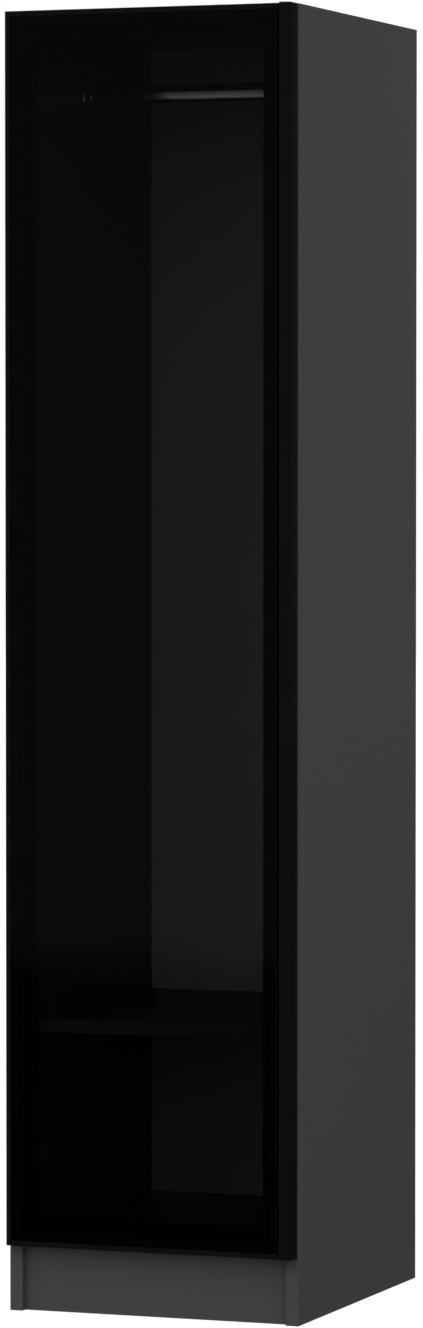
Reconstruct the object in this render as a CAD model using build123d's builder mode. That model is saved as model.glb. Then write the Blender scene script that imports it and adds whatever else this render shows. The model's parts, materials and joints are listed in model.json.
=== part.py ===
from build123d import *
import os

# Single-door wardrobe: a melamine board carcass with a smoked-glass door in an aluminium frame.
# Millimetres. +X is the wardrobe's right, +Y its back, +Z up. The origin lies on the floor, at the
# centre of the overall width and of the overall depth, handle included.
# Inside the file, places are given from the carcass's front left corner at floor level.

# Carcass boards
WIDTH = 500.0
DEPTH = 582.0
HEIGHT = 2110.0
BOARD = 22.0
EDGE_ROUND = 0.8
FIT_GAP = 0.2
PLINTH_HEIGHT = 106.0
PLINTH_RECESS = 12.0
PLINTH_BOARD = 16.0
REAR_RAIL_Y = 548.0
REAR_RAIL_LIFT = 10.0
BACK_THICKNESS = 3.0
BACK_INSET = 2.0
BACK_GROOVE = 8.0

# Shelf, and the rows of holes for its pins
SHELF_TOP = 478.0
SHELF_RECESS = 10.0
SHELF_SIDE_GAP = 0.5
SHELF_REAR_GAP = 2.0
PIN_ROWS = (50.0, 520.0)
PIN_HOLE_STEP = 32.0
PIN_HOLES = 5
PIN_HOLE_DEPTH = 10.0
SHELF_PIN_RADIUS = 2.5
SHELF_PIN_REACH = 9.0
SHELF_PIN_COLLAR = 1.0
SHELF_PIN_COLLAR_RADIUS = 4.0

# Hanging rail: an elliptical tube in the collars of two elliptical flanges
RAIL_HEIGHT = 30.0
RAIL_WIDTH = 15.0
RAIL_WALL = 1.5
RAIL_Y = 271.0
RAIL_Z = 1991.0
BRACKET_PLATE = 3.0
BRACKET_HEIGHT = 50.0
BRACKET_WIDTH = 30.0
COLLAR_DEPTH = 12.0
COLLAR_WALL = 2.0
BRACKET_SCREW_OFFSET = 20.5

# Cam fittings and dowels between the top and bottom panels and the sides
CAM_ROWS = (60.0, 500.0)
CAM_RADIUS = 7.5
CAM_HEIGHT = 12.5
CAM_FROM_END = 34.0
CAM_SLOT = (8.0, 1.6, 2.0)
BOLT_RADIUS = 3.5
BOLT_NECK_RADIUS = 1.5
BOLT_NECK = 3.0
BOLT_HEAD_RADIUS = 2.4
BOLT_HEAD = 2.0
THREAD_RADIUS = 2.5
THREAD_LENGTH = 11.0
DOWEL_ROWS = (92.0, 468.0)
DOWEL_RADIUS = 4.0
DOWEL_IN_SIDE = 12.0
DOWEL_IN_PANEL = 20.0

# Anti-tip angle in the top rear corner
ANGLE_WIDTH = 50.0
ANGLE_LEG = 38.0
ANGLE_PLATE = 2.5
ANGLE_SCREW_Y = 556.0
ANGLE_SCREW_OFFSET = 12.0
WALL_HOLE_RADIUS = 3.0
WALL_HOLE_DROP = 26.0

# Magnetic catch under the top panel, and the strike plate that it holds
CATCH_X = 420.0
CATCH_LENGTH = 46.0
CATCH_DEPTH = 15.0
CATCH_HEIGHT = 13.0
CATCH_BASE = 4.0
CATCH_BASE_Y = 1.0
CATCH_FRONT = -0.6
CATCH_SCREW_Y = 9.0
CATCH_SCREW_OFFSET = 17.0
STRIKE_PLATE = (38.0, 12.0, 1.0)
STRIKE_ROUND = 3.0
STRIKE_DROP = 8.5

# Door frame: hollow profiles, mitred on the hinge side and butted against the handle stile
DOOR_GAP = 2.0
DOOR_THICKNESS = 18.0
DOOR_INSET = 1.5
DOOR_RISE = 2.5
PROFILE_WIDTH = 50.0
PROFILE_WALL = 1.5
WEB = 1.3
OUTER_ROUND = 1.0
LIP = 8.5
HANDLE_STILE_WIDTH = 53.0
STILE_ROUND = 0.6
GROOVE_START = 469.0
GROOVE_WALL = 1.5
GROOVE_FLOOR = 6.0
STILE_PLUG = 3.0

# Glass, and the foam tape that beds it
GLASS = 4.0
GLASS_CHAMFER = 0.4
TAPE = 0.5
TAPE_WIDTH = 12.0
TAPE_MARGIN = 1.0

# Handle: a full-height channel that opens towards the glass
HANDLE_LEFT = 480.6
HANDLE_PROJECTION = 19.0
HANDLE_WALL = 2.5
HANDLE_BASE = 2.0
HANDLE_RADIUS = 8.0
HANDLE_LIP_RADIUS = 1.2
RETURN_LIP = 6.0
RETURN_WALL = 2.4
CAP = 2.0

# Corner cleats: how far they lie from the door's outer edges, and how far their legs reach
CLEAT_NEAR = 14.0
CLEAT_FAR = 40.0
CLEAT_DEPTH = (2.5, 11.5)
CLEAT_GAP = 0.2
RAIL_LEG = 45.0
STILE_LEG = 62.0
HANDLE_STILE_LEG = (3.0, 21.0)
CLEAT_SCREWS = ((28.0, 52.0), (66.0, 27.0), (434.0, 27.0), (457.0, 52.0))

# Hinges: a flat cranked arm on the carcass turns on a pin inside the door's hinge stile
HINGE_HEIGHTS = (210.0, 810.0, 1410.0, 2010.0)
PIVOT = (6.8, -12.4)
ARM_THICKNESS = 4.0
EYE_RADIUS = 3.6
PIN_RADIUS = 2.0
PIN_LENGTH = 35.2
PIN_PLAY = 0.05
WASHER = 0.5
WASHER_GAP = 0.05
HOUSING_HEIGHT = 44.0
HOUSING_END = 46.0
HOUSING_PLAY = 0.15
HOUSING_SCREW = (40.0, 14.0)
FLANGE = 2.5
FLANGE_SIZE = (52.0, 56.0)
FLANGE_ROUND = 5.0
FLANGE_Y = 34.0
FLANGE_SCREW_ROWS = (16.0, 52.0)
FLANGE_SCREW_OFFSET = 20.0

# The arm's blade seen from above: from the eye past the carcass's front edge and along the flange
ARM_OUTLINE = (
    (5.9, -9.8), (22.1, -4.2), (24.5, 0.0), (24.5, 50.0), (32.8, 40.0), (32.8, 3.3), (25.9, -8.8),
    (7.7, -15.0),
)
# What the arm sweeps in the hinge stile as the door opens, open at the rear and at the outer edge
SLOT_OUTLINE = (
    (1.0, -1.0), (31.2, -1.0), (27.2, -9.4), (25.3, -9.6), (7.9, -15.6), PIVOT, (1.0, -11.2),
)
SLOT_EYE_GAP = 0.4

# Bumpers on the door's rear face
BUMPER_RADIUS = 4.0
BUMPER_HEIGHT = 1.6
BUMPER_TAPER = 12.0
BUMPER_X = (58.5, 489.5)
BUMPER_FROM_EDGE = 12.0

# Countersunk screws: shank radius, length, head radius
ARM_SCREW = (2.0, 16.0, 3.6)
HOUSING_SCREW_SIZE = (1.8, 9.0, 3.2)
CLEAT_SCREW = (1.8, 8.0, 3.2)
BACK_SCREW = (1.75, 25.0, 3.5)
RAIL_SCREW = (1.75, 15.0, 3.2)
SMALL_SCREW = (1.5, 12.0, 2.8)
BACK_SCREW_COLUMNS = (70.0, 250.0, 430.0)
SCREW_RIM = 0.3
SCREW_CLEARANCE = 0.05

# Worked out from the above
INNER_RIGHT = WIDTH - BOARD
UNDER_TOP = HEIGHT - BOARD
MIDDLE = WIDTH / 2
BACK_FRONT = DEPTH - BACK_INSET - BACK_THICKNESS
WALL_HOLE_Z = UNDER_TOP - WALL_HOLE_DROP
SHELF_PIN_Z = SHELF_TOP - BOARD - SHELF_PIN_RADIUS
JOINT_LEVELS = (PLINTH_HEIGHT + BOARD / 2, HEIGHT - BOARD / 2)
DOOR_LEFT = DOOR_INSET
DOOR_RIGHT = WIDTH - DOOR_INSET
DOOR_BOTTOM = PLINTH_HEIGHT + DOOR_RISE
DOOR_HEIGHT = HEIGHT - DOOR_BOTTOM
DOOR_REAR = -DOOR_GAP
DOOR_FRONT = DOOR_REAR - DOOR_THICKNESS
REBATE = DOOR_THICKNESS - GLASS - TAPE
STILE_INNER = DOOR_RIGHT - HANDLE_STILE_WIDTH
GROOVE_EDGE = GROOVE_START + GROOVE_WALL
GROOVE_BED = DOOR_REAR - GROOVE_FLOOR
HANDLE_FRONT = DOOR_FRONT - HANDLE_PROJECTION
GLASS_LEFT = DOOR_LEFT + LIP + FIT_GAP
GLASS_RIGHT = GROOVE_START - FIT_GAP
GLASS_BOTTOM = DOOR_BOTTOM + LIP + FIT_GAP
GLASS_TOP = HEIGHT - LIP - FIT_GAP
X_ORIGIN = -WIDTH / 2
Y_ORIGIN = (-HANDLE_FRONT - DEPTH) / 2

# Turns that take a shank from -Z to another direction
TO_LEFT = (0, 90, 0)
TO_RIGHT = (0, -90, 0)
TO_FRONT = (-90, 0, 0)
TO_TOP = (180, 0, 0)

CENTRED_ABOVE = (Align.CENTER, Align.CENTER, Align.MIN)
CENTRED_BELOW = (Align.CENTER, Align.CENTER, Align.MAX)
FROM_CORNER = (Align.MIN, Align.MIN)

os.makedirs("parts", exist_ok=True)


# ---------------------------------------------------------------- helpers

def plan(z):
    """Horizontal plane at height z, measured from the carcass's front left corner."""
    return Plane(origin=(X_ORIGIN, Y_ORIGIN, z), x_dir=(1, 0, 0), z_dir=(0, 0, 1))


def place(x, y, z, rotation=(0, 0, 0)):
    """Location of a point measured from the carcass's front left corner."""
    return Location((X_ORIGIN + x, Y_ORIGIN + y, z), rotation)


def section(x, y, z, x_dir, z_dir):
    """Upright plane through a point measured from the carcass's front left corner."""
    return Plane(origin=(X_ORIGIN + x, Y_ORIGIN + y, z), x_dir=x_dir, z_dir=z_dir)


def on_left_wall(rows, levels, inset=0.0):
    """Places on the left panel's inner face, or inset from it, turned to point into the panel."""
    return [place(BOARD + inset, y, z, TO_LEFT) for z in levels for y in rows]


def on_right_wall(rows, levels, inset=0.0):
    """The same places on the right panel's inner face."""
    return [place(INNER_RIGHT - inset, y, z, TO_RIGHT) for z in levels for y in rows]


def near_level(places, z, reach):
    """Those of the places that lie within reach of height z."""
    return [spot for spot in places if abs(spot.position.Z - z) < reach]


def save(builder, name):
    """Label one finished piece and write its STEP file."""
    builder.part.label = name
    export_step(builder.part, f"parts/{name}.step")


def slab(x, y, z):
    """Box from (low, high) pairs along each axis, as a part of its own."""
    with BuildPart() as block:
        with BuildSketch(plan(z[0])):
            with Locations((x[0], y[0])):
                Rectangle(x[1] - x[0], y[1] - y[0], align=FROM_CORNER)
        extrude(amount=z[1] - z[0])
    return block.part


def group_of(name, piece, places):
    """One node holding the same piece at every one of its places."""
    with BuildPart() as group:
        with Locations(*places):
            add(piece)
    save(group, name)


# ---------------------------------------------------------------- screws

def countersunk_screw(radius, length, head_radius):
    """Cross-recessed countersunk screw along -Z, with its head's face at the origin."""
    recess = head_radius * 1.1
    recess_width = head_radius * 0.28
    neck = -SCREW_RIM - (head_radius - radius)
    with BuildPart() as screw:
        with BuildSketch(Plane.XZ):
            with BuildLine():
                Polyline((0, 0), (head_radius, 0), (head_radius, -SCREW_RIM), (radius, neck),
                         (radius, radius - length), (0, -length), close=True)
            make_face()
        revolve(axis=Axis.Z)
        with BuildSketch():
            Rectangle(recess, recess_width)
            Rectangle(recess_width, recess)
        extrude(amount=-head_radius * 0.4, mode=Mode.SUBTRACT)
    return screw.part


def screw_hole(radius, length, head_radius):
    """The countersunk hole for such a screw, a little wider and deeper, open above its face."""
    bore = radius + SCREW_CLEARANCE
    wide = head_radius + 2 * SCREW_CLEARANCE
    rim = -SCREW_RIM - SCREW_CLEARANCE
    end = -length - 0.5
    with BuildPart() as hole:
        with BuildSketch(Plane.XZ):
            with BuildLine():
                Polyline((0, 1), (wide, 1), (wide, rim), (bore, rim - (wide - bore)),
                         (bore, end), (0, end), close=True)
            make_face()
        revolve(axis=Axis.Z)
    return hole.part


def sink(size, places):
    """Cut the matching screw holes in the part being built."""
    hole = screw_hole(*size)
    with Locations(*places):
        add(hole, mode=Mode.SUBTRACT)


arm_screw_places = on_left_wall(
    FLANGE_SCREW_ROWS,
    [z + side * FLANGE_SCREW_OFFSET for z in HINGE_HEIGHTS for side in (-1, 1)],
    FLANGE,
)
housing_screw_places = [
    place(HOUSING_SCREW[0], DOOR_REAR, z + side * HOUSING_SCREW[1], TO_FRONT)
    for z in HINGE_HEIGHTS for side in (-1, 1)
]
cleat_screw_places = [
    place(x, DOOR_REAR, z, TO_FRONT)
    for x, from_edge in CLEAT_SCREWS for z in (DOOR_BOTTOM + from_edge, HEIGHT - from_edge)
]
back_screw_places = [
    place(x, DEPTH - BACK_INSET, z, TO_FRONT) for z in JOINT_LEVELS for x in BACK_SCREW_COLUMNS
]
rail_screw_levels = (RAIL_Z - BRACKET_SCREW_OFFSET, RAIL_Z + BRACKET_SCREW_OFFSET)
left_rail_screws = on_left_wall((RAIL_Y,), rail_screw_levels, BRACKET_PLATE)
right_rail_screws = on_right_wall((RAIL_Y,), rail_screw_levels, BRACKET_PLATE)
wall_bracket_screw_places = [
    place(MIDDLE + side * ANGLE_SCREW_OFFSET, ANGLE_SCREW_Y, UNDER_TOP - ANGLE_PLATE, TO_TOP)
    for side in (-1, 1)
]
catch_screw_places = [
    place(CATCH_X + side * CATCH_SCREW_OFFSET, CATCH_SCREW_Y, UNDER_TOP - CATCH_BASE, TO_TOP)
    for side in (-1, 1)
]


# ---------------------------------------------------------------- cam fittings and dowels

left_bolts = on_left_wall(CAM_ROWS, JOINT_LEVELS)
right_bolts = on_right_wall(CAM_ROWS, JOINT_LEVELS)
left_dowels = on_left_wall(DOWEL_ROWS, JOINT_LEVELS)
right_dowels = on_right_wall(DOWEL_ROWS, JOINT_LEVELS)


def cam_places(z, turn):
    """The four cams of one panel, on its face at height z."""
    columns = (BOARD + CAM_FROM_END, INNER_RIGHT - CAM_FROM_END)
    return [place(x, y, z, turn) for y in CAM_ROWS for x in columns]


# The bottom panel's cams face down into the plinth, the top panel's face up, out of sight
bottom_cams = cam_places(PLINTH_HEIGHT, TO_TOP)
top_cams = cam_places(HEIGHT, (0, 0, 0))


def cam_lock():
    """Cam housing along -Z, its cross-slotted face at the origin, open below for the bolt's head."""
    slot_length, slot_width, slot_depth = CAM_SLOT
    with BuildPart() as cam:
        Cylinder(CAM_RADIUS, CAM_HEIGHT, align=CENTRED_BELOW)
        with BuildSketch(Plane.XY):
            Rectangle(slot_length, slot_width)
            Rectangle(slot_width, slot_length)
        extrude(amount=-slot_depth, mode=Mode.SUBTRACT)
        with BuildSketch(Plane.XY.offset(-CAM_HEIGHT)):
            Rectangle(2 * CAM_RADIUS + 1, 2 * BOLT_HEAD_RADIUS + 3 * FIT_GAP)
        throat = CAM_HEIGHT - BOARD / 2 + BOLT_HEAD_RADIUS + FIT_GAP
        extrude(amount=throat, mode=Mode.SUBTRACT)
    return cam.part


def cam_bolt():
    """Bolt along +Z from the joint's plane: thread below it, and shank, neck and head above."""
    shank = CAM_FROM_END - CAM_RADIUS - 0.5
    head = shank + BOLT_NECK
    shoulder = THREAD_RADIUS - 0.6
    with BuildPart() as bolt:
        with BuildSketch(Plane.XZ):
            with BuildLine():
                Polyline((0, -THREAD_LENGTH), (shoulder, -THREAD_LENGTH), (THREAD_RADIUS, 1 - THREAD_LENGTH),
                         (THREAD_RADIUS, 0.1), (BOLT_RADIUS, 0.1), (BOLT_RADIUS, shank),
                         (BOLT_NECK_RADIUS, shank), (BOLT_NECK_RADIUS, head),
                         (BOLT_HEAD_RADIUS, head + 1), (BOLT_HEAD_RADIUS, head + 1 + BOLT_HEAD),
                         (0, head + 1 + BOLT_HEAD), close=True)
            make_face()
        revolve(axis=Axis.Z)
    return bolt.part


def round_bore(radius, low, high):
    """A plain bore along Z from low to high, to be cut from a board."""
    with BuildPart() as bore:
        with Locations((0, 0, low)):
            Cylinder(radius, high - low, align=CENTRED_ABOVE)
    return bore.part


# In a side panel a bore holds the thread or the peg's short end, in a cross panel the rest
thread_bore = round_bore(THREAD_RADIUS + SCREW_CLEARANCE, -THREAD_LENGTH - 0.5, 0.3)
shank_bore = round_bore(BOLT_RADIUS + FIT_GAP, 0, CAM_FROM_END - CAM_RADIUS + 1)
short_dowel_bore = round_bore(DOWEL_RADIUS, -DOWEL_IN_SIDE - 1, 0)
long_dowel_bore = round_bore(DOWEL_RADIUS, 0, DOWEL_IN_PANEL + 1)


def dowel():
    """Beech dowel across the joint, with chamfered ends."""
    with BuildPart() as peg:
        with Locations((0, 0, -DOWEL_IN_SIDE)):
            Cylinder(DOWEL_RADIUS, DOWEL_IN_SIDE + DOWEL_IN_PANEL, align=CENTRED_ABOVE)
        chamfer(peg.edges().filter_by(GeomType.CIRCLE), length=1.0)
    return peg.part


# ---------------------------------------------------------------- carcass boards

pin_hole_levels = [
    SHELF_PIN_Z + (step - PIN_HOLES // 2) * PIN_HOLE_STEP for step in range(PIN_HOLES)
]


def side_panel(name, x_low, groove_x, bolts, dowels, pin_holes, screws):
    """Side panel standing on the floor, grooved for the back and drilled on its inner face."""
    groove = slab(groove_x, (BACK_FRONT - FIT_GAP, BACK_FRONT + BACK_THICKNESS + FIT_GAP),
                  (PLINTH_HEIGHT - FIT_GAP, HEIGHT + 1))
    with BuildPart() as panel:
        with BuildSketch(plan(0)):
            with Locations((x_low, 0)):
                Rectangle(BOARD, DEPTH, align=FROM_CORNER)
        extrude(amount=HEIGHT)
        front_edges = panel.edges().filter_by(Axis.Z).group_by(Axis.Y)[0]
        fillet(front_edges, radius=EDGE_ROUND)
        add(groove, mode=Mode.SUBTRACT)
        with Locations(*bolts):
            add(thread_bore, mode=Mode.SUBTRACT)
        with Locations(*dowels):
            add(short_dowel_bore, mode=Mode.SUBTRACT)
        with Locations(*pin_holes):
            Cylinder(SHELF_PIN_RADIUS, PIN_HOLE_DEPTH, mode=Mode.SUBTRACT, align=CENTRED_BELOW)
        for size, places in screws:
            sink(size, places)
    save(panel, name)


def cross_panel(name, z_low, cams, screws):
    """Top or bottom panel between the sides, with its cam pockets and its end bores."""
    level = z_low + BOARD / 2
    bolts = near_level(left_bolts + right_bolts, level, BOARD)
    dowels = near_level(left_dowels + right_dowels, level, BOARD)
    with BuildPart() as panel:
        with BuildSketch(plan(z_low)):
            with Locations((BOARD, 0)):
                Rectangle(WIDTH - 2 * BOARD, BACK_FRONT, align=FROM_CORNER)
        extrude(amount=BOARD)
        front_edges = panel.edges().filter_by(Axis.X).group_by(Axis.Y)[0]
        fillet(front_edges, radius=EDGE_ROUND)
        with Locations(*cams):
            Cylinder(CAM_RADIUS + FIT_GAP / 2, CAM_HEIGHT + 1, mode=Mode.SUBTRACT,
                     align=CENTRED_BELOW)
        with Locations(*bolts):
            add(shank_bore, mode=Mode.SUBTRACT)
        with Locations(*dowels):
            add(long_dowel_bore, mode=Mode.SUBTRACT)
        sink(BACK_SCREW, near_level(back_screw_places, level, BOARD))
        for size, places in screws:
            sink(size, places)
    save(panel, name)


side_panel("left_side_panel", 0, (BOARD - BACK_GROOVE, BOARD + 1),
           left_bolts, left_dowels, on_left_wall(PIN_ROWS, pin_hole_levels),
           [(ARM_SCREW, arm_screw_places), (RAIL_SCREW, left_rail_screws)])
side_panel("right_side_panel", INNER_RIGHT, (INNER_RIGHT - 1, INNER_RIGHT + BACK_GROOVE),
           right_bolts, right_dowels, on_right_wall(PIN_ROWS, pin_hole_levels),
           [(RAIL_SCREW, right_rail_screws)])
cross_panel("top_panel", UNDER_TOP, top_cams,
            [(SMALL_SCREW, wall_bracket_screw_places), (SMALL_SCREW, catch_screw_places)])
cross_panel("bottom_panel", PLINTH_HEIGHT, bottom_cams, [])

with BuildPart() as plinth_panel:
    with BuildSketch(plan(0)):
        with Locations((BOARD, PLINTH_RECESS)):
            Rectangle(WIDTH - 2 * BOARD, PLINTH_BOARD, align=FROM_CORNER)
    extrude(amount=PLINTH_HEIGHT)
save(plinth_panel, "plinth_panel")

with BuildPart() as rear_plinth_rail:
    with BuildSketch(plan(REAR_RAIL_LIFT)):
        with Locations((BOARD, REAR_RAIL_Y)):
            Rectangle(WIDTH - 2 * BOARD, PLINTH_BOARD, align=FROM_CORNER)
    extrude(amount=PLINTH_HEIGHT - REAR_RAIL_LIFT)
save(rear_plinth_rail, "rear_plinth_rail")

wall_hole_place = place(MIDDLE, BACK_FRONT, WALL_HOLE_Z, TO_FRONT)
with BuildPart() as back_panel:
    tongue = BOARD - BACK_GROOVE + FIT_GAP
    with BuildSketch(plan(PLINTH_HEIGHT)):
        with Locations((tongue, BACK_FRONT)):
            Rectangle(WIDTH - 2 * tongue, BACK_THICKNESS, align=FROM_CORNER)
    extrude(amount=HEIGHT - PLINTH_HEIGHT - FIT_GAP)
    sink(BACK_SCREW, back_screw_places)
    with Locations(wall_hole_place):
        Cylinder(WALL_HOLE_RADIUS, 4 * BACK_THICKNESS, mode=Mode.SUBTRACT)
save(back_panel, "back_panel")

with BuildPart() as lower_shelf:
    shelf_left = BOARD + SHELF_SIDE_GAP
    shelf_depth = BACK_FRONT - SHELF_RECESS - SHELF_REAR_GAP
    with BuildSketch(plan(SHELF_TOP - BOARD)):
        with Locations((shelf_left, SHELF_RECESS)):
            Rectangle(WIDTH - 2 * shelf_left, shelf_depth, align=FROM_CORNER)
    extrude(amount=BOARD)
    fillet(lower_shelf.edges().filter_by(Axis.X).group_by(Axis.Y)[0], radius=EDGE_ROUND)
save(lower_shelf, "lower_shelf")

# ---------------------------------------------------------------- carcass fittings

group_of("cam_locks", cam_lock(), bottom_cams + top_cams)
group_of("cam_bolts", cam_bolt(), left_bolts + right_bolts)
group_of("dowels", dowel(), left_dowels + right_dowels)
group_of("back_panel_screws", countersunk_screw(*BACK_SCREW), back_screw_places)


def shelf_pin():
    """Peg in the side panel below Z = 0, a thin flat-sided collar, and the stub under the shelf."""
    peg = PIN_HOLE_DEPTH - 0.5
    side_cut = SHELF_PIN_COLLAR_RADIUS
    with BuildPart() as pin:
        with Locations((0, 0, -peg)):
            Cylinder(SHELF_PIN_RADIUS, peg + SHELF_PIN_REACH, align=CENTRED_ABOVE)
        with BuildSketch(Plane.XY):
            Circle(SHELF_PIN_COLLAR_RADIUS)
            with Locations((SHELF_PIN_RADIUS + side_cut, 0), (-SHELF_PIN_RADIUS - side_cut, 0)):
                Rectangle(2 * side_cut, 4 * side_cut, mode=Mode.SUBTRACT)
        extrude(amount=SHELF_PIN_COLLAR)
    return pin.part


group_of("shelf_pins", shelf_pin(),
         on_left_wall(PIN_ROWS, (SHELF_PIN_Z,)) + on_right_wall(PIN_ROWS, (SHELF_PIN_Z,)))

with BuildPart() as hanging_rail:
    with BuildSketch(section(BOARD + BRACKET_PLATE, RAIL_Y, RAIL_Z, (0, 0, 1), (1, 0, 0))):
        Ellipse(RAIL_HEIGHT / 2, RAIL_WIDTH / 2)
        Ellipse(RAIL_HEIGHT / 2 - RAIL_WALL, RAIL_WIDTH / 2 - RAIL_WALL, mode=Mode.SUBTRACT)
    extrude(amount=WIDTH - 2 * (BOARD + BRACKET_PLATE))
save(hanging_rail, "hanging_rail")

for name, x, inward, screws in (
    ("rail_bracket_left", BOARD, 1, left_rail_screws),
    ("rail_bracket_right", INNER_RIGHT, -1, right_rail_screws),
):
    wall_plane = section(x, RAIL_Y, RAIL_Z, (0, 0, 1), (inward, 0, 0))
    with BuildPart() as rail_bracket:
        with BuildSketch(wall_plane):
            Ellipse(BRACKET_HEIGHT / 2, BRACKET_WIDTH / 2)
        extrude(amount=BRACKET_PLATE)
        with BuildSketch(wall_plane.offset(BRACKET_PLATE)):
            Ellipse(RAIL_HEIGHT / 2 + COLLAR_WALL, RAIL_WIDTH / 2 + COLLAR_WALL)
            Ellipse((RAIL_HEIGHT + FIT_GAP) / 2, (RAIL_WIDTH + FIT_GAP) / 2, mode=Mode.SUBTRACT)
        extrude(amount=COLLAR_DEPTH)
        sink(RAIL_SCREW, screws)
    save(rail_bracket, name)
group_of("rail_bracket_screws", countersunk_screw(*RAIL_SCREW), left_rail_screws + right_rail_screws)

# The wall screw goes through the angle's hole and on through the back panel's
angle_corner = section(MIDDLE - ANGLE_WIDTH / 2, BACK_FRONT, UNDER_TOP, (0, -1, 0), (1, 0, 0))
with BuildPart() as wall_bracket:
    with BuildSketch(angle_corner):
        with BuildLine():
            Polyline((0, 0), (ANGLE_LEG, 0), (ANGLE_LEG, ANGLE_PLATE), (ANGLE_PLATE, ANGLE_PLATE),
                     (ANGLE_PLATE, ANGLE_LEG), (0, ANGLE_LEG), close=True)
        make_face()
    extrude(amount=ANGLE_WIDTH)
    sink(SMALL_SCREW, wall_bracket_screw_places)
    with Locations(wall_hole_place):
        Cylinder(WALL_HOLE_RADIUS, 4 * ANGLE_PLATE, mode=Mode.SUBTRACT)
save(wall_bracket, "wall_bracket")
group_of("wall_bracket_screws", countersunk_screw(*SMALL_SCREW), wall_bracket_screw_places)

with BuildPart() as magnetic_catch:
    with BuildSketch(plan(UNDER_TOP - CATCH_BASE)):
        with Locations((CATCH_X, CATCH_BASE_Y + CATCH_DEPTH / 2)):
            RectangleRounded(CATCH_LENGTH, CATCH_DEPTH, STRIKE_ROUND)
    extrude(amount=CATCH_BASE)
    with BuildSketch(plan(UNDER_TOP - CATCH_HEIGHT)):
        with Locations((CATCH_X, CATCH_FRONT + CATCH_DEPTH / 2)):
            Rectangle(CATCH_LENGTH / 2, CATCH_DEPTH)
    extrude(amount=CATCH_HEIGHT)
    sink(SMALL_SCREW, catch_screw_places)
save(magnetic_catch, "magnetic_catch")
group_of("catch_screws", countersunk_screw(*SMALL_SCREW), catch_screw_places)


# ---------------------------------------------------------------- hinge arms, on the carcass

def hinge_arm(z):
    """Flange on the side panel, and a flat blade cranked round its front edge to the pivot's eye."""
    with BuildPart() as arm:
        with BuildSketch(plan(z - ARM_THICKNESS / 2)):
            with BuildLine():
                Polyline(*ARM_OUTLINE, close=True)
            make_face()
            with Locations(PIVOT):
                Circle(EYE_RADIUS)
                Circle(PIN_RADIUS + PIN_PLAY, mode=Mode.SUBTRACT)
        extrude(amount=ARM_THICKNESS)
        with BuildSketch(section(BOARD, FLANGE_Y, z, (0, 1, 0), (1, 0, 0))):
            RectangleRounded(*FLANGE_SIZE, FLANGE_ROUND)
        extrude(amount=FLANGE)
        sink(ARM_SCREW, near_level(arm_screw_places, z, FLANGE_SIZE[1] / 2))
    return arm.part


with BuildPart() as hinge_arms:
    for z in HINGE_HEIGHTS:
        add(hinge_arm(z))
save(hinge_arms, "hinge_arms")
group_of("hinge_arm_screws", countersunk_screw(*ARM_SCREW), arm_screw_places)


# ---------------------------------------------------------------- door frame

def cavity(play=0.0, end=PROFILE_WIDTH - PROFILE_WALL):
    """The profile's hollow, across from its outer edge and forward from its rear face, or with
    play the outline of a block that slides in it as far as end."""
    near = PROFILE_WALL + play
    step = LIP - WEB - play
    under_glass = REBATE - WEB - play
    front = DOOR_THICKNESS - PROFILE_WALL - play
    return ((near, near), (end, near), (end, under_glass), (step, under_glass), (step, front),
            (near, front))


def frame_section():
    """Hollow frame profile: a box behind the glass with a lip that covers the glass's edge."""
    with BuildSketch() as outline:
        with BuildLine():
            Polyline((0, 0), (PROFILE_WIDTH, 0), (PROFILE_WIDTH, REBATE), (LIP, REBATE),
                     (LIP, DOOR_THICKNESS), (0, DOOR_THICKNESS), close=True)
        make_face()
        with BuildLine():
            Polyline(*cavity(), close=True)
        make_face(mode=Mode.SUBTRACT)
    return outline.sketch


def mitre(z, toward_x, toward_z):
    """Mitre plane at a left outer corner, its normal pointing towards the piece that is kept."""
    return Plane(origin=(X_ORIGIN + DOOR_LEFT, Y_ORIGIN, z), z_dir=(toward_x, 0, toward_z))


def hinge_slots():
    """The slots in the hinge stile that the arms' necks turn in, one at every hinge."""
    half = ARM_THICKNESS / 2 + WASHER + 2 * WASHER_GAP
    with BuildPart() as slots:
        for z in HINGE_HEIGHTS:
            with BuildSketch(plan(z - half)):
                with BuildLine():
                    Polyline(*SLOT_OUTLINE, close=True)
                make_face()
                with Locations(PIVOT):
                    Circle(EYE_RADIUS + SLOT_EYE_GAP)
            extrude(amount=2 * half)
    return slots.part


with BuildPart() as hinge_stile:
    with BuildSketch(section(DOOR_LEFT, DOOR_REAR, HEIGHT, (1, 0, 0), (0, 0, -1))):
        add(frame_section())
    extrude(amount=DOOR_HEIGHT)
    outer = hinge_stile.edges().filter_by(Axis.Z).group_by(Axis.X)[0]
    fillet(outer, radius=OUTER_ROUND)
    split(bisect_by=mitre(HEIGHT, -1, -1), keep=Keep.TOP)
    split(bisect_by=mitre(DOOR_BOTTOM, -1, 1), keep=Keep.TOP)
    add(hinge_slots(), mode=Mode.SUBTRACT)
    sink(HOUSING_SCREW_SIZE, housing_screw_places)
    sink(CLEAT_SCREW, cleat_screw_places)
save(hinge_stile, "hinge_stile")

for name, z, inward, start in (
    ("door_top_rail", HEIGHT, -1, STILE_INNER),
    ("door_bottom_rail", DOOR_BOTTOM, 1, DOOR_LEFT),
):
    with BuildPart() as door_rail:
        with BuildSketch(section(start, DOOR_REAR, z, (0, 0, inward), (inward, 0, 0))):
            add(frame_section())
        extrude(amount=STILE_INNER - DOOR_LEFT)
        outer = [edge for edge in door_rail.edges().filter_by(Axis.X) if abs(edge.center().Z - z) < 0.01]
        fillet(outer, radius=OUTER_ROUND)
        split(bisect_by=mitre(z, 1, -inward), keep=Keep.TOP)
        sink(CLEAT_SCREW, cleat_screw_places)
    save(door_rail, name)

stile_floor = DOOR_REAR - PROFILE_WALL
channel_roof = GROOVE_BED + PROFILE_WALL
under_glass_y = DOOR_REAR - REBATE + WEB

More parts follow.
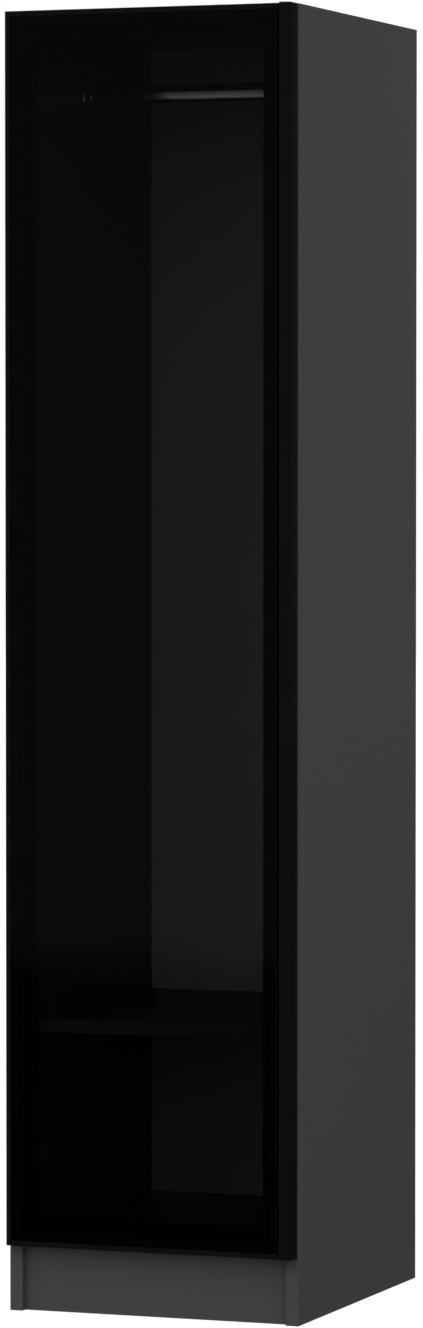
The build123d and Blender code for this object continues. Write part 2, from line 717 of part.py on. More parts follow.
# The handle stile carries the glass on its inner part, and a low channel under the handle
with BuildPart() as handle_stile:
    with BuildSketch(plan(DOOR_BOTTOM)):
        with BuildLine():
            Polyline((STILE_INNER, DOOR_REAR), (DOOR_RIGHT, DOOR_REAR), (DOOR_RIGHT, GROOVE_BED),
                     (GROOVE_EDGE, GROOVE_BED), (GROOVE_EDGE, DOOR_FRONT), (STILE_INNER, DOOR_FRONT),
                     close=True)
        make_face()
        with BuildLine():
            Polyline((STILE_INNER + PROFILE_WALL, stile_floor), (DOOR_RIGHT - PROFILE_WALL, stile_floor),
                     (DOOR_RIGHT - PROFILE_WALL, channel_roof), (GROOVE_START - PROFILE_WALL, channel_roof),
                     (GROOVE_START - PROFILE_WALL, under_glass_y),
                     (STILE_INNER + PROFILE_WALL, under_glass_y), close=True)
        make_face(mode=Mode.SUBTRACT)
    extrude(amount=DOOR_HEIGHT)
    fillet(handle_stile.edges().filter_by(Axis.Z).group_by(Axis.X)[-1], radius=STILE_ROUND)
    # The glass's rebate stops short of each end, where the stile closes the lip
    add(slab((STILE_INNER - 1, GROOVE_START), (DOOR_FRONT - 1, DOOR_REAR - REBATE),
             (DOOR_BOTTOM + LIP, HEIGHT - LIP)), mode=Mode.SUBTRACT)
    # Windows that the corner cleats' legs pass through, from the rails into the stile
    for low in (DOOR_BOTTOM + CLEAT_NEAR, HEIGHT - CLEAT_FAR):
        window_y = (DOOR_REAR - CLEAT_DEPTH[1] - CLEAT_GAP, DOOR_REAR - CLEAT_DEPTH[0] + CLEAT_GAP)
        window_z = (low - CLEAT_GAP, low + CLEAT_FAR - CLEAT_NEAR + CLEAT_GAP)
        add(slab((STILE_INNER - 1, STILE_INNER + 2 * PROFILE_WALL), window_y, window_z), mode=Mode.SUBTRACT)
    sink(CLEAT_SCREW, cleat_screw_places)
save(handle_stile, "handle_stile")


def corner_cleat(on_left, z_edge, inward):
    """Solid L block inside the hollow profiles: one leg along the rail and one along the stile."""
    y = (DOOR_REAR - CLEAT_DEPTH[1], DOOR_REAR - CLEAT_DEPTH[0])
    if on_left:
        stile_x = (DOOR_LEFT + CLEAT_NEAR, DOOR_LEFT + CLEAT_FAR)
        rail_x = (stile_x[0], stile_x[1] + RAIL_LEG)
    else:
        stile_x = (STILE_INNER + HANDLE_STILE_LEG[0], STILE_INNER + HANDLE_STILE_LEG[1])
        rail_x = (STILE_INNER - RAIL_LEG, stile_x[1])
    rail_z = sorted((z_edge + inward * CLEAT_NEAR, z_edge + inward * CLEAT_FAR))
    stile_z = sorted((z_edge + inward * CLEAT_NEAR, z_edge + inward * STILE_LEG))
    with BuildPart() as cleat:
        add(slab(rail_x, y, rail_z))
        add(slab(stile_x, y, stile_z))
        sink(CLEAT_SCREW, cleat_screw_places)
    return cleat.part


with BuildPart() as corner_cleats:
    for on_left in (True, False):
        add(corner_cleat(on_left, HEIGHT, -1))
        add(corner_cleat(on_left, DOOR_BOTTOM, 1))
save(corner_cleats, "corner_cleats")
group_of("cleat_screws", countersunk_screw(*CLEAT_SCREW), cleat_screw_places)

# ---------------------------------------------------------------- glass and its tape

with BuildPart() as glass_pane:
    add(slab((GLASS_LEFT, GLASS_RIGHT), (DOOR_FRONT, DOOR_FRONT + GLASS), (GLASS_BOTTOM, GLASS_TOP)))
    chamfer(glass_pane.edges().filter_by(Axis.Z), length=GLASS_CHAMFER)
save(glass_pane, "glass_pane")

with BuildPart() as glazing_tape:
    tape_x = (GLASS_LEFT + TAPE_MARGIN, GLASS_RIGHT - TAPE_MARGIN)
    tape_y = (DOOR_FRONT + GLASS, DOOR_FRONT + GLASS + TAPE)
    tape_z = (GLASS_BOTTOM + TAPE_MARGIN, GLASS_TOP - TAPE_MARGIN)
    add(slab(tape_x, tape_y, tape_z))
    add(slab((tape_x[0] + TAPE_WIDTH, tape_x[1] - TAPE_WIDTH), (tape_y[0] - 1, tape_y[1] + 1),
             (tape_z[0] + TAPE_WIDTH, tape_z[1] - TAPE_WIDTH)), mode=Mode.SUBTRACT)
save(glazing_tape, "glazing_tape")

# ---------------------------------------------------------------- handle

with BuildPart() as handle_profile:
    handle_roof = HANDLE_FRONT + HANDLE_WALL
    base_front = GROOVE_BED - HANDLE_BASE
    with BuildSketch(plan(DOOR_BOTTOM + CAP)) as handle_section:
        with BuildLine():
            Polyline((GROOVE_EDGE, GROOVE_BED), (DOOR_RIGHT, GROOVE_BED), (DOOR_RIGHT, HANDLE_FRONT),
                     (HANDLE_LEFT, HANDLE_FRONT), (HANDLE_LEFT, HANDLE_FRONT + RETURN_LIP),
                     (HANDLE_LEFT + RETURN_WALL, HANDLE_FRONT + RETURN_LIP),
                     (HANDLE_LEFT + RETURN_WALL, handle_roof), (DOOR_RIGHT - HANDLE_WALL, handle_roof),
                     (DOOR_RIGHT - HANDLE_WALL, base_front), (GROOVE_EDGE, base_front), close=True)
        make_face()
        front_points = handle_section.vertices().group_by(Axis.Y)[0].sort_by(Axis.X)
        inner_corner = handle_section.vertices().group_by(Axis.Y)[1].sort_by(Axis.X)[-1]
        fillet(front_points[-1], radius=HANDLE_RADIUS)
        fillet(inner_corner, radius=HANDLE_RADIUS - HANDLE_WALL)
        fillet(front_points[0], radius=HANDLE_LIP_RADIUS)
    extrude(amount=DOOR_HEIGHT - 2 * CAP)
save(handle_profile, "handle_profile")

with BuildPart() as handle_end_caps:
    for z in (DOOR_BOTTOM, HEIGHT - CAP):
        with BuildSketch(plan(z)) as cap_outline:
            with BuildLine():
                Polyline((GROOVE_EDGE, GROOVE_BED), (DOOR_RIGHT, GROOVE_BED), (DOOR_RIGHT, HANDLE_FRONT),
                         (HANDLE_LEFT, HANDLE_FRONT), (HANDLE_LEFT, DOOR_FRONT), (GROOVE_EDGE, DOOR_FRONT),
                         close=True)
            make_face()
            front_points = cap_outline.vertices().group_by(Axis.Y)[0].sort_by(Axis.X)
            fillet(front_points[-1], radius=HANDLE_RADIUS)
            fillet(front_points[0], radius=HANDLE_LIP_RADIUS)
        extrude(amount=CAP)
save(handle_end_caps, "handle_end_caps")

with BuildPart() as stile_end_plugs:
    for z in (DOOR_BOTTOM, HEIGHT - STILE_PLUG):
        thickness = (z, z + STILE_PLUG)
        add(slab((STILE_INNER + PROFILE_WALL, DOOR_RIGHT - PROFILE_WALL), (channel_roof, stile_floor),
                 thickness))
        add(slab((STILE_INNER + PROFILE_WALL, GROOVE_START - PROFILE_WALL), (under_glass_y, stile_floor),
                 thickness))
save(stile_end_plugs, "stile_end_plugs")

# ---------------------------------------------------------------- door half of the hinges

pivot_places = [place(*PIVOT, z) for z in HINGE_HEIGHTS]

with BuildPart() as hinge_housings:
    for z in HINGE_HEIGHTS:
        with BuildSketch(section(DOOR_LEFT, DOOR_REAR, z + HOUSING_HEIGHT / 2, (1, 0, 0), (0, 0, -1))):
            with BuildLine():
                Polyline(*cavity(HOUSING_PLAY, HOUSING_END), close=True)
            make_face()
        extrude(amount=HOUSING_HEIGHT)
    add(hinge_slots(), mode=Mode.SUBTRACT)
    with Locations(*pivot_places):
        Cylinder(PIN_RADIUS, PIN_LENGTH, mode=Mode.SUBTRACT)
    sink(HOUSING_SCREW_SIZE, housing_screw_places)
save(hinge_housings, "hinge_housings")
group_of("housing_screws", countersunk_screw(*HOUSING_SCREW_SIZE), housing_screw_places)

with BuildPart() as hinge_pins:
    with Locations(*pivot_places):
        Cylinder(PIN_RADIUS, PIN_LENGTH)
save(hinge_pins, "hinge_pins")

with BuildPart() as hinge_washers:
    above_arm = ARM_THICKNESS / 2 + WASHER_GAP + WASHER / 2
    with Locations(*[place(*PIVOT, z + side * above_arm) for z in HINGE_HEIGHTS for side in (-1, 1)]):
        Cylinder(EYE_RADIUS, WASHER)
        Cylinder(PIN_RADIUS, WASHER, mode=Mode.SUBTRACT)
save(hinge_washers, "hinge_washers")

# ---------------------------------------------------------------- strike plate and bumpers

with BuildPart() as strike_plate:
    with BuildSketch(section(CATCH_X, DOOR_REAR, UNDER_TOP - STRIKE_DROP, (1, 0, 0), (0, 1, 0))):
        RectangleRounded(STRIKE_PLATE[0], STRIKE_PLATE[1], STRIKE_ROUND)
    extrude(amount=STRIKE_PLATE[2])
save(strike_plate, "strike_plate")

with BuildPart() as door_bumpers:
    for z in (DOOR_BOTTOM + BUMPER_FROM_EDGE, HEIGHT - BUMPER_FROM_EDGE):
        for x in BUMPER_X:
            with BuildSketch(section(x, DOOR_REAR, z, (1, 0, 0), (0, 1, 0))):
                Circle(BUMPER_RADIUS)
            extrude(amount=BUMPER_HEIGHT, taper=BUMPER_TAPER)
save(door_bumpers, "door_bumpers")
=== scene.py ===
import json
import math

import bmesh
import bpy
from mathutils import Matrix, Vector


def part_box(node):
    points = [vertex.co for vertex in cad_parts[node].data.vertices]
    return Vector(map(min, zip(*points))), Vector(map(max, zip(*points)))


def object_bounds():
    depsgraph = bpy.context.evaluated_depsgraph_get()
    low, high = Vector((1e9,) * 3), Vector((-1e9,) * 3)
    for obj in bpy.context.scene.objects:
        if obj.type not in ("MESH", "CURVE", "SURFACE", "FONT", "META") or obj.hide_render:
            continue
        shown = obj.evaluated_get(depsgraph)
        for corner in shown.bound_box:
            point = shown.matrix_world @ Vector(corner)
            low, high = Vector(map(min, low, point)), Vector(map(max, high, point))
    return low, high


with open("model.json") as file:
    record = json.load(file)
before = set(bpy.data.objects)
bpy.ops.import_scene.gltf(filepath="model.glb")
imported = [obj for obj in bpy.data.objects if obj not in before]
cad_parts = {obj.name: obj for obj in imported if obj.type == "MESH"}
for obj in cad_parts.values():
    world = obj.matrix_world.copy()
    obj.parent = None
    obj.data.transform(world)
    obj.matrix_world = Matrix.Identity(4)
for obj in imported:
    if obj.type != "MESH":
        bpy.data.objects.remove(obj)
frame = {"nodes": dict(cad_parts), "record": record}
cad_low, cad_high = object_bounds()
nodes = frame["nodes"]
slots = {part["node"]: part["material_slot"] for part in frame["record"]["subparts"]}

MM = 0.001
BAND = 1.0 * MM
CARCASS_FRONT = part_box("left_side_panel")[0].y
SHELF_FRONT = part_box("lower_shelf")[0].y
RAIL = (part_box("hanging_rail")[0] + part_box("hanging_rail")[1]) / 2
WHITE = (1.0, 1.0, 1.0, 1.0)

# ------------------------------------------------------------------ shader helpers


def start_material(name):
    """A new material with an empty tree, its output and object coordinates in metres."""
    material = bpy.data.materials.new(name)
    material.use_nodes = True
    tree = material.node_tree
    tree.nodes.clear()
    output = tree.nodes.new("ShaderNodeOutputMaterial")
    coordinates = tree.nodes.new("ShaderNodeTexCoord").outputs["Object"]
    return material, tree, output, coordinates


def principled(tree, output, **values):
    """The material's Principled shader, with plain values set on its own sockets."""
    shader = tree.nodes.new("ShaderNodeBsdfPrincipled")
    for socket, value in values.items():
        shader.inputs[socket.replace("_", " ")].default_value = value
    tree.links.new(shader.outputs["BSDF"], output.inputs["Surface"])
    return shader


def stretched(tree, coordinates, scale):
    """Coordinates scaled along each axis, for brushed or grained surfaces."""
    mapping = tree.nodes.new("ShaderNodeMapping")
    mapping.inputs["Scale"].default_value = scale
    tree.links.new(coordinates, mapping.inputs["Vector"])
    return mapping.outputs["Vector"]


def noise(tree, vector, scale, detail=3.0, roughness=0.55):
    """Grey noise of about scale features to the metre."""
    texture = tree.nodes.new("ShaderNodeTexNoise")
    texture.inputs["Scale"].default_value = scale
    texture.inputs["Detail"].default_value = detail
    texture.inputs["Roughness"].default_value = roughness
    tree.links.new(vector, texture.inputs["Vector"])
    return texture.outputs["Fac"]


def remap(tree, value, low, high, new_low, new_high):
    """value from low..high spread over new_low..new_high, and held there outside."""
    node = tree.nodes.new("ShaderNodeMapRange")
    node.inputs["From Min"].default_value = low
    node.inputs["From Max"].default_value = high
    node.inputs["To Min"].default_value = new_low
    node.inputs["To Max"].default_value = new_high
    tree.links.new(value, node.inputs["Value"])
    return node.outputs["Result"]


def math_node(tree, operation, first, second):
    """A Math node on two sockets or numbers."""
    node = tree.nodes.new("ShaderNodeMath")
    node.operation = operation
    for socket, value in zip(node.inputs, (first, second)):
        if isinstance(value, (int, float)):
            socket.default_value = value
        else:
            tree.links.new(value, socket)
    return node.outputs["Value"]


def mixed_colour(tree, factor, first, second):
    """Colour first where factor is 0 and second where it is 1."""
    node = tree.nodes.new("ShaderNodeMix")
    node.data_type = "RGBA"
    tree.links.new(factor, node.inputs["Factor"])
    for socket, value in ((node.inputs[6], first), (node.inputs[7], second)):
        if isinstance(value, tuple):
            socket.default_value = (*value, 1.0)
        else:
            tree.links.new(value, socket)
    return node.outputs[2]


def bumped(tree, shader, height, strength, distance):
    """Bump the shader by height, distance metres deep at full strength."""
    node = tree.nodes.new("ShaderNodeBump")
    node.inputs["Strength"].default_value = strength
    node.inputs["Distance"].default_value = distance
    tree.links.new(height, node.inputs["Height"])
    tree.links.new(node.outputs["Normal"], shader.inputs["Normal"])


# ------------------------------------------------------------------ materials


def board_material(name, base, seam_y=None):
    """Melamine board: a fine pearl texture, and a thin dark joint at seam_y, where its edge band ends."""
    material, tree, output, where = start_material(name)
    shader = principled(tree, output, Specular_IOR_Level=0.32)
    grain = noise(tree, where, 900.0, 4.0, 0.6)
    cloud = noise(tree, where, 7.0, 3.0)
    fleck = remap(tree, grain, 0.35, 0.65, 0.0, 1.0)
    darker = tuple(0.86 * channel for channel in base)
    lighter = tuple(1.12 * channel for channel in base)
    colour = mixed_colour(tree, fleck, darker, lighter)
    drift = remap(tree, cloud, 0.3, 0.7, 0.0, 0.35)
    colour = mixed_colour(tree, drift, colour, base)
    height = grain
    if seam_y is not None:
        split = tree.nodes.new("ShaderNodeSeparateXYZ")
        tree.links.new(where, split.inputs["Vector"])
        away = math_node(tree, "ABSOLUTE", math_node(tree, "SUBTRACT", split.outputs["Y"], seam_y), 0.0)
        joint = remap(tree, away, 0.08 * MM, 0.2 * MM, 1.0, 0.0)
        colour = mixed_colour(tree, joint, colour, tuple(0.35 * channel for channel in base))
        height = math_node(tree, "SUBTRACT", grain, joint)
    tree.links.new(colour, shader.inputs["Base Color"])
    tree.links.new(remap(tree, grain, 0.3, 0.7, 0.32, 0.42), shader.inputs["Roughness"])
    bumped(tree, shader, height, 0.35, 0.06 * MM)
    return material


def anodised_material(name, along, rough, shine):
    """Dark anodised aluminium, with faint extrusion lines along one axis."""
    material, tree, output, where = start_material(name)
    shader = principled(tree, output, Metallic=0.3, Specular_IOR_Level=shine)
    scale = [2600.0, 2600.0, 2600.0]
    scale["XYZ".index(along)] = 9.0
    lines = noise(tree, stretched(tree, where, scale), 1.0, 2.0)
    blush = noise(tree, where, 12.0, 2.0)
    streak = remap(tree, lines, 0.3, 0.7, 0.0, 1.0)
    colour = mixed_colour(tree, streak, tuple(0.85 * c for c in ANODISED), tuple(1.18 * c for c in ANODISED))
    tree.links.new(colour, shader.inputs["Base Color"])
    varied = math_node(tree, "ADD", remap(tree, lines, 0.3, 0.7, rough - 0.05, rough + 0.05),
                       remap(tree, blush, 0.3, 0.7, -0.02, 0.02))
    tree.links.new(varied, shader.inputs["Roughness"])
    bumped(tree, shader, lines, 0.12, 0.03 * MM)
    return material


def bare_metal_material(name, base, rough, along=None, tint=None):
    """Bare or plated metal: drawing lines along one axis, or a fine tumbled texture."""
    material, tree, output, where = start_material(name)
    shader = principled(tree, output, Metallic=1.0)
    if along is None:
        texture = noise(tree, where, 1500.0, 3.0)
    else:
        scale = [3000.0, 3000.0, 3000.0]
        scale["XYZ".index(along)] = 8.0
        texture = noise(tree, stretched(tree, where, scale), 1.0, 2.0)
    patches = remap(tree, noise(tree, where, 60.0, 2.0), 0.35, 0.65, 0.0, 1.0)
    colour = mixed_colour(tree, patches, base, tint or tuple(0.9 * c for c in base))
    tree.links.new(colour, shader.inputs["Base Color"])
    tree.links.new(remap(tree, texture, 0.3, 0.7, rough - 0.05, rough + 0.07), shader.inputs["Roughness"])
    bumped(tree, shader, texture, 0.15, 0.03 * MM)
    return material


def painted_material(name, base, rough):
    """Blackened or lacquered metal, with a faint orange peel."""
    material, tree, output, where = start_material(name)
    shader = principled(tree, output, Metallic=0.35, Specular_IOR_Level=0.5)
    peel = noise(tree, where, 700.0, 2.0)
    colour = mixed_colour(tree, remap(tree, peel, 0.35, 0.65, 0.0, 1.0), base, tuple(1.3 * c for c in base))
    tree.links.new(colour, shader.inputs["Base Color"])
    tree.links.new(remap(tree, peel, 0.3, 0.7, rough - 0.04, rough + 0.04), shader.inputs["Roughness"])
    bumped(tree, shader, peel, 0.15, 0.04 * MM)
    return material


def moulded_material(name, base, rough, clear=0.0):
    """Moulded plastic or rubber with a spark-eroded texture, and some depth where it is clear."""
    material, tree, output, where = start_material(name)
    shader = principled(tree, output, Specular_IOR_Level=0.4, Subsurface_Weight=clear)
    shader.inputs["Subsurface Radius"].default_value = (1.0 * MM, 1.0 * MM, 1.0 * MM)
    texture = noise(tree, where, 1800.0, 2.0)
    mottle = remap(tree, noise(tree, where, 90.0, 2.0), 0.3, 0.7, 0.0, 1.0)
    colour = mixed_colour(tree, mottle, tuple(0.93 * c for c in base), tuple(1.05 * c for c in base))
    tree.links.new(colour, shader.inputs["Base Color"])
    tree.links.new(remap(tree, texture, 0.3, 0.7, rough - 0.06, rough + 0.06), shader.inputs["Roughness"])
    bumped(tree, shader, texture, 0.25, 0.05 * MM)
    return material


def beech_material(name):
    """Plain beech, with short dark flecks along its grain, which runs along X."""
    material, tree, output, where = start_material(name)
    shader = principled(tree, output, Specular_IOR_Level=0.3)
    grain = noise(tree, stretched(tree, where, (60.0, 900.0, 900.0)), 1.0, 4.0)
    fleck = noise(tree, stretched(tree, where, (250.0, 2500.0, 2500.0)), 1.0, 2.0)
    colour = mixed_colour(tree, remap(tree, grain, 0.3, 0.7, 0.0, 1.0), BEECH_LIGHT, BEECH_DARK)
    colour = mixed_colour(tree, remap(tree, fleck, 0.6, 0.72, 0.0, 0.6), colour, BEECH_FLECK)
    tree.links.new(colour, shader.inputs["Base Color"])
    tree.links.new(remap(tree, grain, 0.3, 0.7, 0.5, 0.65), shader.inputs["Roughness"])
    bumped(tree, shader, grain, 0.3, 0.05 * MM)
    return material


def glass_material(name):
    """Smoked glass: it tints what is behind it, more at a slant, and each face mirrors a little."""
    material, tree, output, where = start_material(name)
    film = noise(tree, where, 3.0, 3.0)
    slant = tree.nodes.new("ShaderNodeLayerWeight")
    slant.inputs["Blend"].default_value = 0.5
    cosine = math_node(tree, "SUBTRACT", 1.0, slant.outputs["Facing"])
    sine_squared = math_node(tree, "SUBTRACT", 1.0, math_node(tree, "POWER", cosine, 2.0))
    bent = math_node(tree, "SUBTRACT", 1.0, math_node(tree, "DIVIDE", sine_squared, GLASS_INDEX ** 2))
    way = math_node(tree, "INVERSE_SQRT", bent, 0.0)
    shade = math_node(tree, "POWER", remap(tree, film, 0.3, 0.7, GLASS_PASS, 0.985 * GLASS_PASS), way)
    clear = tree.nodes.new("ShaderNodeBsdfTransparent")
    tree.links.new(shade, clear.inputs["Color"])
    mirror = tree.nodes.new("ShaderNodeBsdfGlossy")
    mirror.inputs["Color"].default_value = WHITE
    tree.links.new(remap(tree, film, 0.3, 0.7, 0.0, 0.006), mirror.inputs["Roughness"])
    rise = math_node(tree, "POWER", slant.outputs["Facing"], 5.0)
    share = remap(tree, rise, 0.0, 1.0, GLASS_MIRROR, 1.0)
    mix = tree.nodes.new("ShaderNodeMixShader")
    tree.links.new(share, mix.inputs["Fac"])
    tree.links.new(clear.outputs["BSDF"], mix.inputs[1])
    tree.links.new(mirror.outputs["BSDF"], mix.inputs[2])
    tree.links.new(mix.outputs["Shader"], output.inputs["Surface"])
    return material


ANTHRACITE = (0.0445, 0.0440, 0.0460)
BACK_GREY = (0.45, 0.45, 0.46)
ANODISED = (0.0050, 0.0050, 0.0052)
BEECH_LIGHT = (0.62, 0.42, 0.26)
BEECH_DARK = (0.47, 0.29, 0.16)
BEECH_FLECK = (0.24, 0.12, 0.06)
GLASS_PASS = 0.518
GLASS_INDEX = 1.52
GLASS_MIRROR = 0.030

plain_board = board_material("plinth_melamine", ANTHRACITE)
level_profile = anodised_material("anodised_level", "X", 0.34, 0.2)
by_slot = {
    "board": board_material("board_melamine", ANTHRACITE, CARCASS_FRONT + BAND),
    "back_board": board_material("back_laminate", BACK_GREY),
    "frame": anodised_material("anodised_upright", "Z", 0.34, 0.2),
    "handle": anodised_material("anodised_handle", "Z", 0.36, 0.08),
    "glass": glass_material("smoked_glass"),
    "tape": moulded_material("foam_tape", (0.0055, 0.0055, 0.0055), 0.8),
    "rail": bare_metal_material("rail_polished", (0.66, 0.66, 0.67), 0.13, "X"),
    "fitting": bare_metal_material("polished_nickel", (0.50, 0.50, 0.51), 0.13),
    "steel": bare_metal_material("zinc_plate", (0.56, 0.57, 0.60), 0.36, None, (0.55, 0.55, 0.52)),
    "black_steel": painted_material("blackened_steel", (0.020, 0.020, 0.021), 0.35),
    "zinc": bare_metal_material("die_cast_zinc", (0.40, 0.40, 0.41), 0.45),
    "nylon": moulded_material("nylon", (0.72, 0.71, 0.67), 0.5, 0.2),
    "black_plastic": moulded_material("black_plastic", (0.014, 0.014, 0.015), 0.5),
    "silicone": moulded_material("clear_silicone", (0.22, 0.22, 0.22), 0.25, 0.4),
    "beech": beech_material("beech"),
}
by_node = {
    "lower_shelf": board_material("shelf_melamine", ANTHRACITE, SHELF_FRONT + BAND),
    "plinth_panel": plain_board,
    "rear_plinth_rail": plain_board,
    "door_top_rail": level_profile,
    "door_bottom_rail": level_profile,
}

# ------------------------------------------------------------------ CAD nodes' edges

# Edge rounding of each material slot in millimetres; the slots left out keep their CAD edges
BEVEL_MM = {
    "board": 0.35, "back_board": 0.2, "frame": 0.25, "handle": 0.3, "rail": 0.25, "fitting": 0.6,
    "steel": 0.1, "black_steel": 0.1, "zinc": 0.3, "black_plastic": 0.3,
}
BEVELLED_ABOVE = math.radians(32)
SHARP_ABOVE = math.radians(28)
WELD_DISTANCE = 0.002 * MM


def shade_rounds():
    """Geometry nodes that weld split corners and shade smooth across every gentle edge."""
    tree = bpy.data.node_groups.new("shade_rounds", "GeometryNodeTree")
    tree.interface.new_socket("Geometry", in_out="INPUT", socket_type="NodeSocketGeometry")
    tree.interface.new_socket("Geometry", in_out="OUTPUT", socket_type="NodeSocketGeometry")
    source = tree.nodes.new("NodeGroupInput")
    result = tree.nodes.new("NodeGroupOutput")
    weld = tree.nodes.new("GeometryNodeMergeByDistance")
    weld.inputs["Distance"].default_value = WELD_DISTANCE
    smooth = tree.nodes.new("GeometryNodeSetShadeSmooth")
    keep_sharp = tree.nodes.new("GeometryNodeSetShadeSmooth")
    keep_sharp.domain = "EDGE"
    keep_sharp.inputs["Shade Smooth"].default_value = False
    angle = tree.nodes.new("GeometryNodeInputMeshEdgeAngle")
    steep = tree.nodes.new("FunctionNodeCompare")
    steep.data_type = "FLOAT"
    steep.operation = "GREATER_THAN"
    steep.inputs[1].default_value = SHARP_ABOVE
    tree.links.new(source.outputs[0], weld.inputs["Geometry"])
    tree.links.new(weld.outputs["Geometry"], smooth.inputs["Geometry"])
    tree.links.new(smooth.outputs["Geometry"], keep_sharp.inputs["Geometry"])
    tree.links.new(angle.outputs["Unsigned Angle"], steep.inputs[0])
    tree.links.new(steep.outputs["Result"], keep_sharp.inputs["Selection"])
    tree.links.new(keep_sharp.outputs["Geometry"], result.inputs[0])
    return tree


rounds = shade_rounds()
for name, piece in nodes.items():
    slot_name = slots[name]
    piece.data.materials.clear()
    piece.data.materials.append(by_node.get(name, by_slot[slot_name]))
    join = piece.modifiers.new("rounds", "NODES")
    join.node_group = rounds
    if slot_name in BEVEL_MM:
        bevel = piece.modifiers.new("edges", "BEVEL")
        bevel.width = BEVEL_MM[slot_name] * MM
        bevel.segments = 2
        bevel.limit_method = "ANGLE"
        bevel.angle_limit = BEVELLED_ABOVE
        bevel.use_clamp_overlap = True

# ------------------------------------------------------------------ floor

FLOOR_SIZE = 60.0
FLOOR_GREY = (0.08, 0.08, 0.08, 1.0)
FLOOR_GLOW = 0.32
FLOOR_GLOW_SEEN = 0.95


def pale_floor():
    """A large floor that looks white to the camera and glows faintly on the wardrobe."""
    shape = bmesh.new()
    bmesh.ops.create_grid(shape, x_segments=1, y_segments=1, size=FLOOR_SIZE / 2)
    mesh = bpy.data.meshes.new("floor")
    shape.to_mesh(mesh)
    shape.free()
    floor = bpy.data.objects.new("floor", mesh)
    bpy.context.scene.collection.objects.link(floor)
    floor.location.z = cad_low.z
    floor.visible_glossy = False
    material, tree, output = start_material("pale_floor")[:3]
    shader = principled(tree, output, Base_Color=FLOOR_GREY, Roughness=0.9, Specular_IOR_Level=0.0,
                        Emission_Color=WHITE)
    seen = tree.nodes.new("ShaderNodeLightPath").outputs["Is Camera Ray"]
    glow = remap(tree, seen, 0.0, 1.0, FLOOR_GLOW, FLOOR_GLOW_SEEN)
    tree.links.new(glow, shader.inputs["Emission Strength"])
    mesh.materials.append(material)


pale_floor()

# ------------------------------------------------------------------ lamps

# Watts that an area lamp needs for each square metre of it and each unit of its radiance
WATTS = 4.0
RAIL_LAMP_AWAY = 2.0
RAIL_LAMP_X = -0.18
RAIL_LAMP_WIDTH = 2.36
# The rail lamp's bands: lowest and highest elevation seen from the rail in degrees, and radiance
RAIL_BANDS = ((-42.0, -33.0, 0.6), (-33.0, -18.0, 1.15), (-18.0, -5.0, 0.85), (-5.0, 12.0, 0.4))


def area_light(name, place, aim, size, power):
    """A soft rectangular lamp at place, turned towards aim."""
    lamp = bpy.data.lights.new(name, "AREA")
    lamp.shape = "RECTANGLE"
    lamp.size, lamp.size_y = size
    lamp.energy = power
    holder = bpy.data.objects.new(name, lamp)
    holder.location = place
    holder.rotation_euler = (Vector(aim) - Vector(place)).to_track_quat("-Z", "Y").to_euler()
    holder.visible_camera = False
    bpy.context.scene.collection.objects.link(holder)
    return holder


def light_rail():
    """Lamps in front of the hanging rail that give it and its flanges their streak of light, and no other."""
    rail_only = bpy.data.collections.new("rail_only")
    for name in ("hanging_rail", "rail_bracket_left", "rail_bracket_right"):
        rail_only.objects.link(nodes[name])
    for low, high, radiance in RAIL_BANDS:
        bottom = RAIL.z + RAIL_LAMP_AWAY * math.tan(math.radians(low))
        top = RAIL.z + RAIL_LAMP_AWAY * math.tan(math.radians(high))
        place = (RAIL_LAMP_X, RAIL.y - RAIL_LAMP_AWAY, (bottom + top) / 2)
        aim = (RAIL_LAMP_X, RAIL.y, (bottom + top) / 2)
        power = WATTS * RAIL_LAMP_WIDTH * (top - bottom) * radiance
        lamp = area_light("rail_light", place, aim, (RAIL_LAMP_WIDTH, top - bottom), power)
        lamp.light_linking.receiver_collection = rail_only


area_light("left_light", (-5.0, 1.2, 1.9), (0.0, 0.1, 1.0), (3.0, 3.4), 24.0)
area_light("back_light", (-0.8, 5.5, 2.2), (0.0, 0.2, 1.0), (3.0, 3.0), 24.0)
light_rail()

# ------------------------------------------------------------------ dome

# Diffuse light from the front and from behind, and how it grows from the horizon to overhead
DOME_FRONT = 2.20
DOME_BEHIND = 1.40
DOME_HORIZON = 0.80
DOME_OVERHEAD = 1.26
# What glossy surfaces mirror: almost nothing below a slightly sunk horizon, and dim walls above it
MIRRORED_BELOW = 0.004
MIRRORED_ABOVE = 0.062
MIRRORED_HORIZON = -0.0865
HORIZON_BLUR = 0.004


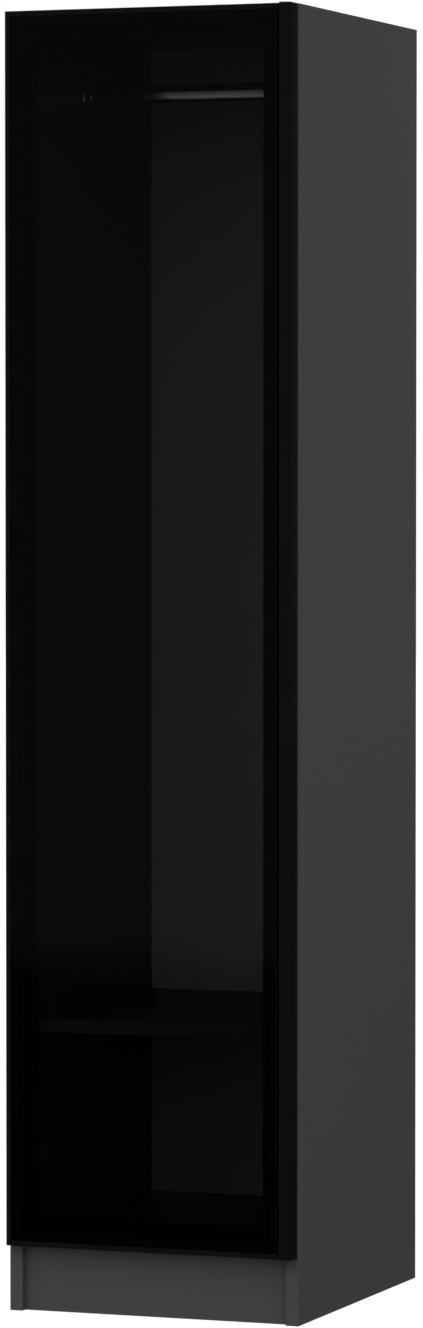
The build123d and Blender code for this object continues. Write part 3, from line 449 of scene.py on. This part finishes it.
def studio_dome():
    """A world that is white to the camera, a soft dome to matt surfaces and dim to glossy ones."""
    world = bpy.data.worlds.new("studio")
    bpy.context.scene.world = world
    world.use_nodes = True
    tree = world.node_tree
    tree.nodes.clear()
    output = tree.nodes.new("ShaderNodeOutputWorld")
    direction = tree.nodes.new("ShaderNodeSeparateXYZ")
    tree.links.new(tree.nodes.new("ShaderNodeTexCoord").outputs["Generated"], direction.inputs["Vector"])
    towards = remap(tree, direction.outputs["Y"], -1.0, 1.0, DOME_FRONT, DOME_BEHIND)
    rising = remap(tree, direction.outputs["Z"], 0.0, 1.0, DOME_HORIZON, DOME_OVERHEAD)
    mirrored = remap(tree, direction.outputs["Z"], MIRRORED_HORIZON - HORIZON_BLUR,
                     MIRRORED_HORIZON + HORIZON_BLUR, MIRRORED_BELOW, MIRRORED_ABOVE)
    path = tree.nodes.new("ShaderNodeLightPath")
    dome = math_node(tree, "MULTIPLY", towards, rising)
    matt = math_node(tree, "MULTIPLY", path.outputs["Is Diffuse Ray"], dome)
    glossy = math_node(tree, "MULTIPLY", path.outputs["Is Glossy Ray"], mirrored)
    strength = math_node(tree, "ADD", math_node(tree, "ADD", matt, glossy), path.outputs["Is Camera Ray"])
    background = tree.nodes.new("ShaderNodeBackground")
    background.inputs["Color"].default_value = WHITE
    tree.links.new(strength, background.inputs["Strength"])
    tree.links.new(background.outputs["Background"], output.inputs["Surface"])


studio_dome()

# ------------------------------------------------------------------ camera

# Fitted to the wardrobe's corners: place in metres, downward tilt and turn in radians, focal length
CAMERA_PLACE = (3.2996, -8.6866, 1.3691)
CAMERA_TILT = 0.03445
CAMERA_TURN = 0.3632
CAMERA_LENS = 152.35

camera_data = bpy.data.cameras.new("camera")
camera_data.lens = CAMERA_LENS
camera = bpy.data.objects.new("camera", camera_data)
camera.location = CAMERA_PLACE
camera.rotation_euler = (math.pi / 2 - CAMERA_TILT, 0.0, CAMERA_TURN)
bpy.context.scene.collection.objects.link(camera)
bpy.context.scene.camera = camera
bpy.context.scene.view_settings.view_transform = "Standard"
